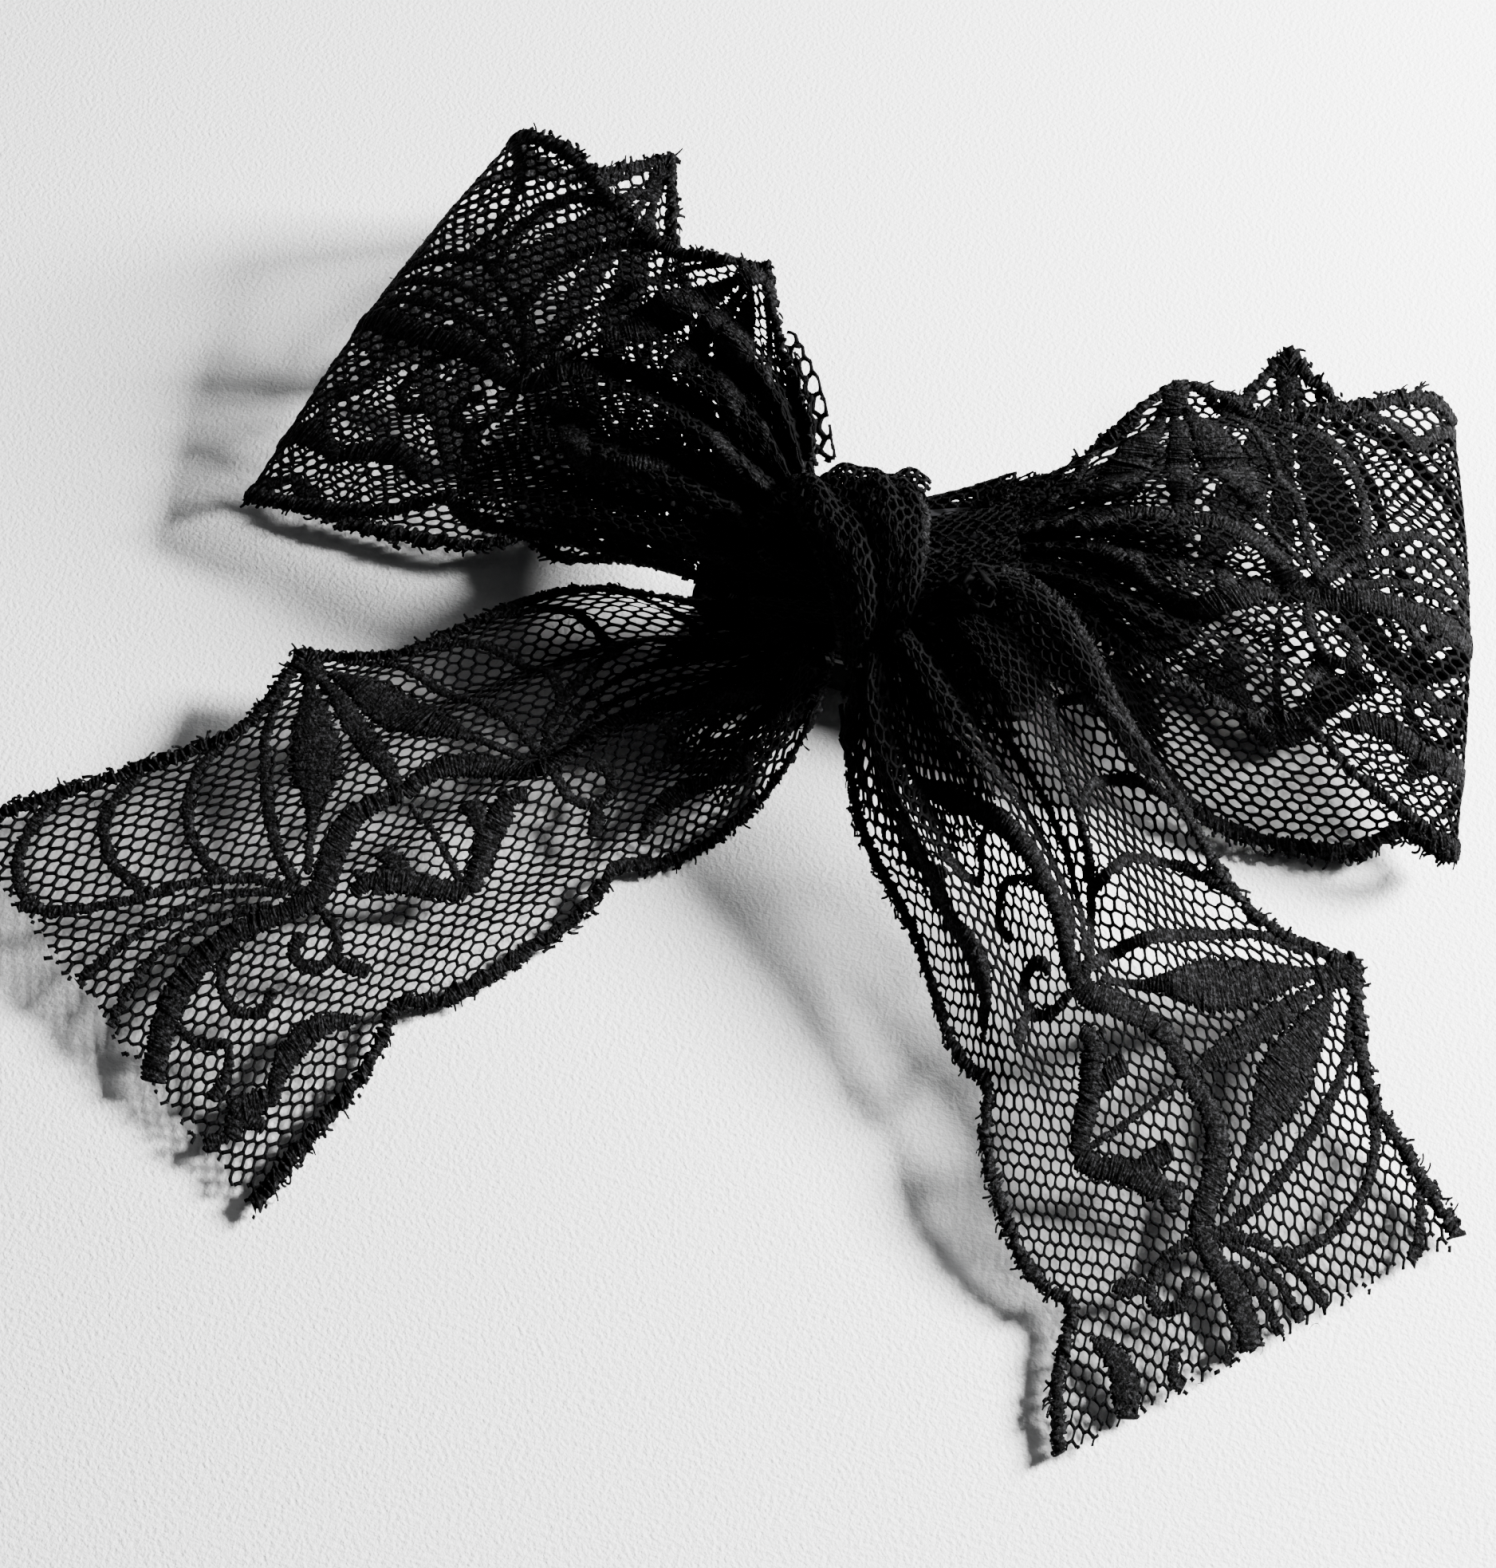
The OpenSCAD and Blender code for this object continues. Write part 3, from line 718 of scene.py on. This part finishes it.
def tail_piece(side, cut_is_high, seed):
    stretch = STRETCHES[side + "_tail"]
    lace_pieces([(f"tail_{side}", f"tail_{side}", stretch.low, stretch.high, "draped")],
                stretch, (not cut_is_high, cut_is_high),
                [stretch.low if cut_is_high else stretch.high], 21, seed)


loop_pieces("left", True, 34, 11)
loop_pieces("right", False, 26, 12)
tail_piece("left", False, 13)
tail_piece("right", True, 14)

# ---------------------------------------------------------------- knot
KNOT_CENTRE = np.array([-0.4, 2.4, 17.4])
KNOT_TURN = math.radians(-20)
ALONG = np.array([math.cos(KNOT_TURN), -math.sin(KNOT_TURN), 0.0])  # the axis that the wrap goes round
ACROSS = np.array([math.sin(KNOT_TURN), math.cos(KNOT_TURN), 0.0])
UP = np.array([0.0, 0.0, 1.0])


def wrap_surface(radius_y, radius_z, half_width, folds, fold_depth, phase, slant):
    """A pleated band round the knot. u goes round it and v along the bow; folds run round it, aslant."""
    round_it = np.linspace(0, TAU, 400)
    w = np.linspace(-1, 1, 140)
    turn = round_it[:, None]
    ridge = (np.sin(TAU * folds * (0.5 * w[None] + slant * np.cos(turn + 0.5)) + phase)
             + 0.35 * np.sin(TAU * 2.1 * folds * (0.5 * w[None] - 0.5 * slant * np.sin(turn)) + 2.1 * phase))
    edge = 1.3 * np.abs(w[None]) ** 5
    lift = fold_depth * ridge * (1 - 0.5 * w[None] ** 6) - edge
    wide = half_width * (0.76 + 0.3 * np.cos(turn - 0.6))  # fanned over the top, tight below
    side = wide * w[None] + 0.35 * np.sin(3 * turn + phase) - 0.9 * np.cos(turn)
    c, s = np.cos(turn), np.sin(turn)
    z = np.maximum((radius_z + lift) * s, 8.7 - KNOT_CENTRE[2])  # flat where it lies on the clip's liner
    grid = (KNOT_CENTRE + side[..., None] * ALONG + ((radius_y + lift) * c)[..., None] * ACROSS
            + z[..., None] * UP)
    girth = math.pi * (radius_y + radius_z)
    pleated = 2 * half_width * 1.2
    return Surface(grid, 0, girth, (0, pleated)), girth, pleated


def solid_of(surface, inset):
    """A closed dark core under the net, so that the folds behind it don't let light through."""
    grid = surface.grid[::4, ::4] - surface.normals[::4, ::4] * inset
    nu, nv = grid.shape[:2]
    index = np.arange(nu * nv).reshape(nu, nv)
    faces = np.stack([index[:-1, :-1], index[1:, :-1], index[1:, 1:], index[:-1, 1:]], -1).reshape(-1, 4)
    points = np.vstack([grid.reshape(-1, 3), grid[:, 0].mean(axis=0), grid[:, -1].mean(axis=0)])
    low, high = nu * nv, nu * nv + 1
    for start, line, flip in ((low, index[:, 0], 1), (high, index[:, -1], -1)):
        cap = np.stack([np.full(nu - 1, start), line[1:], line[:-1], line[:-1]], -1)
        faces = np.vstack([faces, cap])
    return points, faces, np.zeros(len(faces), int)


def knot_threads(surface, girth, pleated, rng, fine, borders):
    threads = Threads()
    net_threads(threads, 0, girth, lambda u: 0 * u, lambda u: 0 * u + pleated, (False, False), rng, fine)
    for v in borders:
        us = np.arange(0, girth + 0.01, 1.0)
        satin(threads, np.stack([us, v * pleated + 0 * us], -1), [1.5], 0.8, rng, (0, girth), 1.6)
    flat, faces, slots, _ = threads.arrays()
    return surface.place(flat), faces, slots


def join_arrays(parts):
    points, faces, slots, count = [], [], [], 0
    for p, f, k in parts:
        points.append(p)
        faces.append(f + count)
        slots.append(k)
        count += len(p)
    return np.vstack(points), np.vstack(faces), np.concatenate(slots)


# The wrap's turns, outermost first: radii across and up, half width, folds, their depth, phase and slant,
# fineness of the net, and where a border cord runs, as a share of the width
WRAP_TURNS = [
    (11.0, 9.6, 7.6, 2.0, 0.95, 0.4, 0.3, 0.97, (0.03,)),
    (10.3, 8.9, 7.3, 2.6, 0.7, 2.2, 0.22, 0.94, (0.97,)),
    (9.7, 8.3, 7.0, 2.4, 0.6, 4.0, 0.3, 0.9, ()),
]


def make_knot():
    rng = np.random.default_rng(21)
    layers = []
    for ry, rz, half, folds, depth, phase, slant, fine, borders in WRAP_TURNS:
        surface, girth, pleated = wrap_surface(ry, rz, half, folds, depth, phase, slant)
        layers.append(knot_threads(surface, girth, pleated, rng, fine, borders))
    knot = mesh_object("knot_net", *join_arrays(layers), [NET, SATIN])
    core = mesh_object("knot_folds", *solid_of(surface, 0.45), [PACKED])
    declare_lace([knot, core], ["knot_wrap"])


def throat_surface(x0, x1, semi0, semi1, rise, sway, pleats, depth, phase):
    """A pleated sleeve of ribbon from inside the knot out to a loop's root. u runs out along it."""
    t = np.linspace(0, 1, 90)
    a = np.linspace(0, TAU, 260)
    centre = (KNOT_CENTRE + ALONG * (x0 + (x1 - x0) * t)[:, None] + UP * (rise * t)[:, None]
              + ACROSS * (sway * t**1.5)[:, None])
    ry = semi0[0] + (semi1[0] - semi0[0]) * t**1.3
    rz = semi0[1] + (semi1[1] - semi0[1]) * t**1.3
    wave = (np.sin(pleats * a + phase)[None] * (0.4 + 0.6 * t[:, None])
            + 0.5 * np.sin(1.7 * pleats * a + 2 * phase)[None] * t[:, None])
    lift = depth * wave * (0.5 + 0.8 * t[:, None])
    grid = (centre[:, None] + ((ry[:, None] + lift) * np.cos(a)[None])[..., None] * ACROSS
            + ((rz[:, None] + lift) * np.sin(a)[None])[..., None] * UP)
    length = abs(x1 - x0) * 1.1
    girth = math.pi * (semi0[0] + semi0[1]) * 1.7
    return Surface(grid, 0, length, (0, girth)), length, girth


# Sleeves of gathered ribbon: start and end along the knot's axis, half sizes across and up at the end,
# rise, sway across, and phase of the pleats
SLEEVES = [
    (1, 17, (6.4, 4.4), 3.0, 2.6, 0.6),
    (1, 15, (6, 4.2), 2.2, 2, 2.4),
    (-2, 13, (4.6, 3.4), 1.4, 1, 5.0),
    (-1, -12, (6.4, 4.6), 1.2, 2, 1.7),
    (-1, -13, (5, 3.6), 0.6, 0, 4.1),
    (2, -11, (4.6, 3.2), 0.4, 0.6, 3.1),
]
INNERMOST = (-2, 2)  # starts of the two sleeves that have a dark core
SLEEVE_START = (6.8, 5.6)  # half sizes across and up inside the knot
COVERED = 0.24  # share of a sleeve, from its start inside the wrap, that is left out


def make_throats():
    rng = np.random.default_rng(22)
    layers = []
    cores = []
    for x0, x1, semi1, rise, sway, phase in SLEEVES:
        surface, length, girth = throat_surface(x0, x1, SLEEVE_START, semi1, rise, sway, 8, 0.8, phase)
        threads = Threads()
        net_threads(threads, COVERED * length, length, lambda u: 0 * u, lambda u: 0 * u + girth,
                    (False, True), rng, 0.9)
        flat, faces, slots, _ = threads.arrays()
        layers.append((surface.place(flat), faces, slots))
        if x0 in INNERMOST:
            cores.append(solid_of(surface, 0.5))
    throats = mesh_object("throat_net", *join_arrays(layers), [NET, SATIN])
    core = mesh_object("throat_folds", *join_arrays(cores), [PACKED])
    declare_lace([throats, core], ["throat_gather"])


make_knot()
make_throats()

# ---------------------------------------------------------------- clip
PIVOT = np.array([-7.0, 0.0, 3.8])
WIRE_R, COIL_R, TURNS, LEG = 0.22, 1.22, 6, 8.0
PLATE_UNDERSIDE, LEVER_TOP = 7.0, 0.7


def enamel_material():
    """Black enamel on stamped steel, rubbed thin on its edges."""
    mat, node = principled("black_enamel", (0.012, 0.012, 0.013), 0.3, Coat_Weight=0.4)
    wear = mat.node_tree.nodes.new("ShaderNodeNewGeometry")
    tone = noise(mat, 900.0)
    edge = mat.node_tree.nodes.new("ShaderNodeMath")
    edge.operation = "MULTIPLY"
    mat.node_tree.links.new(wear.outputs["Pointiness"], edge.inputs[0])
    mat.node_tree.links.new(tone.outputs["Fac"], edge.inputs[1])
    ramp(mat, edge.outputs[0], [(0.33, (0.012, 0.012, 0.013)), (0.42, (0.12, 0.115, 0.11))],
         node.inputs["Base Color"])
    bump(mat, node, noise(mat, 2600.0).outputs["Fac"], 0.25, 0.00005)
    return mat


def steel_material(name, colour):
    """Drawn steel, with a fine noise in its tone and relief."""
    mat, node = principled(name, colour, 0.34, Metallic=1.0)
    tone = noise(mat, 3000.0, 5.0)
    ramp(mat, tone.outputs["Fac"], [(0.3, tuple(0.6 * c for c in colour)), (0.7, colour)],
         node.inputs["Base Color"])
    bump(mat, node, tone.outputs["Fac"], 0.3, 0.00003)
    return mat


def ribbed_material(name, scale, distance, colour, across):
    """Woven ribs, or the twist of a thread: bands with a little noise, in the bump and in the colour, which
    darkens in the grooves as painted shade.
    """
    mat, node = principled(name, colour, 0.7)
    coords = mat.node_tree.nodes.new("ShaderNodeTexCoord")
    bands = mat.node_tree.nodes.new("ShaderNodeTexWave")
    bands.bands_direction = across
    bands.inputs["Scale"].default_value = scale
    bands.inputs["Distortion"].default_value = 1.5
    bands.inputs["Detail"].default_value = 2.0
    mat.node_tree.links.new(coords.outputs["Object"], bands.inputs["Vector"])
    # painted shade: the colour falls to 0.3 of itself in the bands' grooves
    ramp(mat, bands.outputs["Fac"], [(0.2, tuple(0.3 * c for c in colour)), (0.8, colour)],
         node.inputs["Base Color"])
    bump(mat, node, bands.outputs["Fac"], 0.7, distance)
    node.inputs["Specular IOR Level"].default_value = 0.2
    return mat


def set_material(node, mat):
    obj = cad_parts[node]
    if not obj.material_slots:
        obj.data.materials.append(mat)
    for slot in obj.material_slots:
        slot.material = mat


def wire(name, path, sides=12):
    """A round wire along path, in millimetres."""
    ahead = np.gradient(path, axis=0)
    ahead /= np.linalg.norm(ahead, axis=1, keepdims=True)
    side = np.array([0.0, 1.0, 0.0]) - ahead * ahead[:, 1:2]
    side /= np.linalg.norm(side, axis=1, keepdims=True)
    up = np.cross(side, ahead)
    angle = TAU * np.arange(sides) / sides
    rings = (path[:, None] + WIRE_R * (side[:, None] * np.cos(angle)[None, :, None]
                                       + up[:, None] * np.sin(angle)[None, :, None]))
    tube = Threads()
    tube.add(rings[None], 0)
    points, faces, slots, _ = tube.arrays()
    return mesh_object(name, points, faces, slots, [SPRING_STEEL])


def make_spring():
    """The coil and its leg under the plate stay with the bow; the other leg goes with the jaw."""
    pitch = 2 * WIRE_R + 0.12
    length = TURNS * pitch
    a = np.radians(90 + 360 * (TURNS + 0.5) * np.linspace(0, 1, 200))
    coil = np.stack([PIVOT[0] - COIL_R * np.cos(a), np.linspace(-length / 2, length / 2, 200),
                     PIVOT[2] + COIL_R * np.sin(a)], -1)
    foot = np.linspace(0, 1, 12)[:, None]
    upper = np.array([PIVOT[0] - LEG, -length / 2 - 0.1, PLATE_UNDERSIDE - WIRE_R - 0.05])
    lower = np.array([PIVOT[0] - LEG, length / 2 + 0.1, LEVER_TOP + WIRE_R + 0.05])
    coil_and_leg = wire("spring_coil", np.vstack([(upper * (1 - foot) + coil[0] * foot)[:-1], coil]))
    lever_leg = wire("spring_lever_leg", coil[-1] * (1 - foot) + lower * foot)
    for piece, body in ((coil_and_leg, "bow"), (lever_leg, "jaw")):
        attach(piece, body)
        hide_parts("clip_spring")


SPRING_STEEL = steel_material("spring_steel", (0.35, 0.34, 0.33))
make_spring()
for enamelled in ("clip_top_plate", "clip_lower_jaw"):
    set_material(enamelled, enamel_material())
set_material("clip_pin", steel_material("pin_steel", (0.42, 0.41, 0.4)))
set_material("clip_liner", ribbed_material("grosgrain", 900.0, 0.0001, (0.014, 0.014, 0.015), "X"))
set_material("stitches", ribbed_material("sewing_thread", 1500.0, 0.00008, (0.02, 0.02, 0.021), "DIAGONAL"))

# ---------------------------------------------------------------- stage
bpy.ops.mesh.primitive_plane_add(size=6, location=(0, 0, -0.0002))
floor = bpy.context.object
floor.name = "floor"
floor.data.materials.append(paper_material())


def area_light(name, place, size, power, aim=(0, 0, 0)):
    data = bpy.data.lights.new(name, "AREA")
    data.size = size
    data.energy = power
    lamp = bpy.data.objects.new(name, data)
    lamp.location = place
    lamp.rotation_euler = (Vector(aim) - Vector(place)).to_track_quat("-Z", "Y").to_euler()
    bpy.context.scene.collection.objects.link(lamp)


area_light("window", (0.38, 0.21, 0.235), 0.14, 27)
area_light("overhead", (0.3, 0.2, 0.8), 0.5, 0.7)
world = bpy.data.worlds.new("studio")
world.use_nodes = True
world.node_tree.nodes["Background"].inputs["Color"].default_value = (0.95, 0.97, 1, 1)
world.node_tree.nodes["Background"].inputs["Strength"].default_value = 0.04
bpy.context.scene.world = world
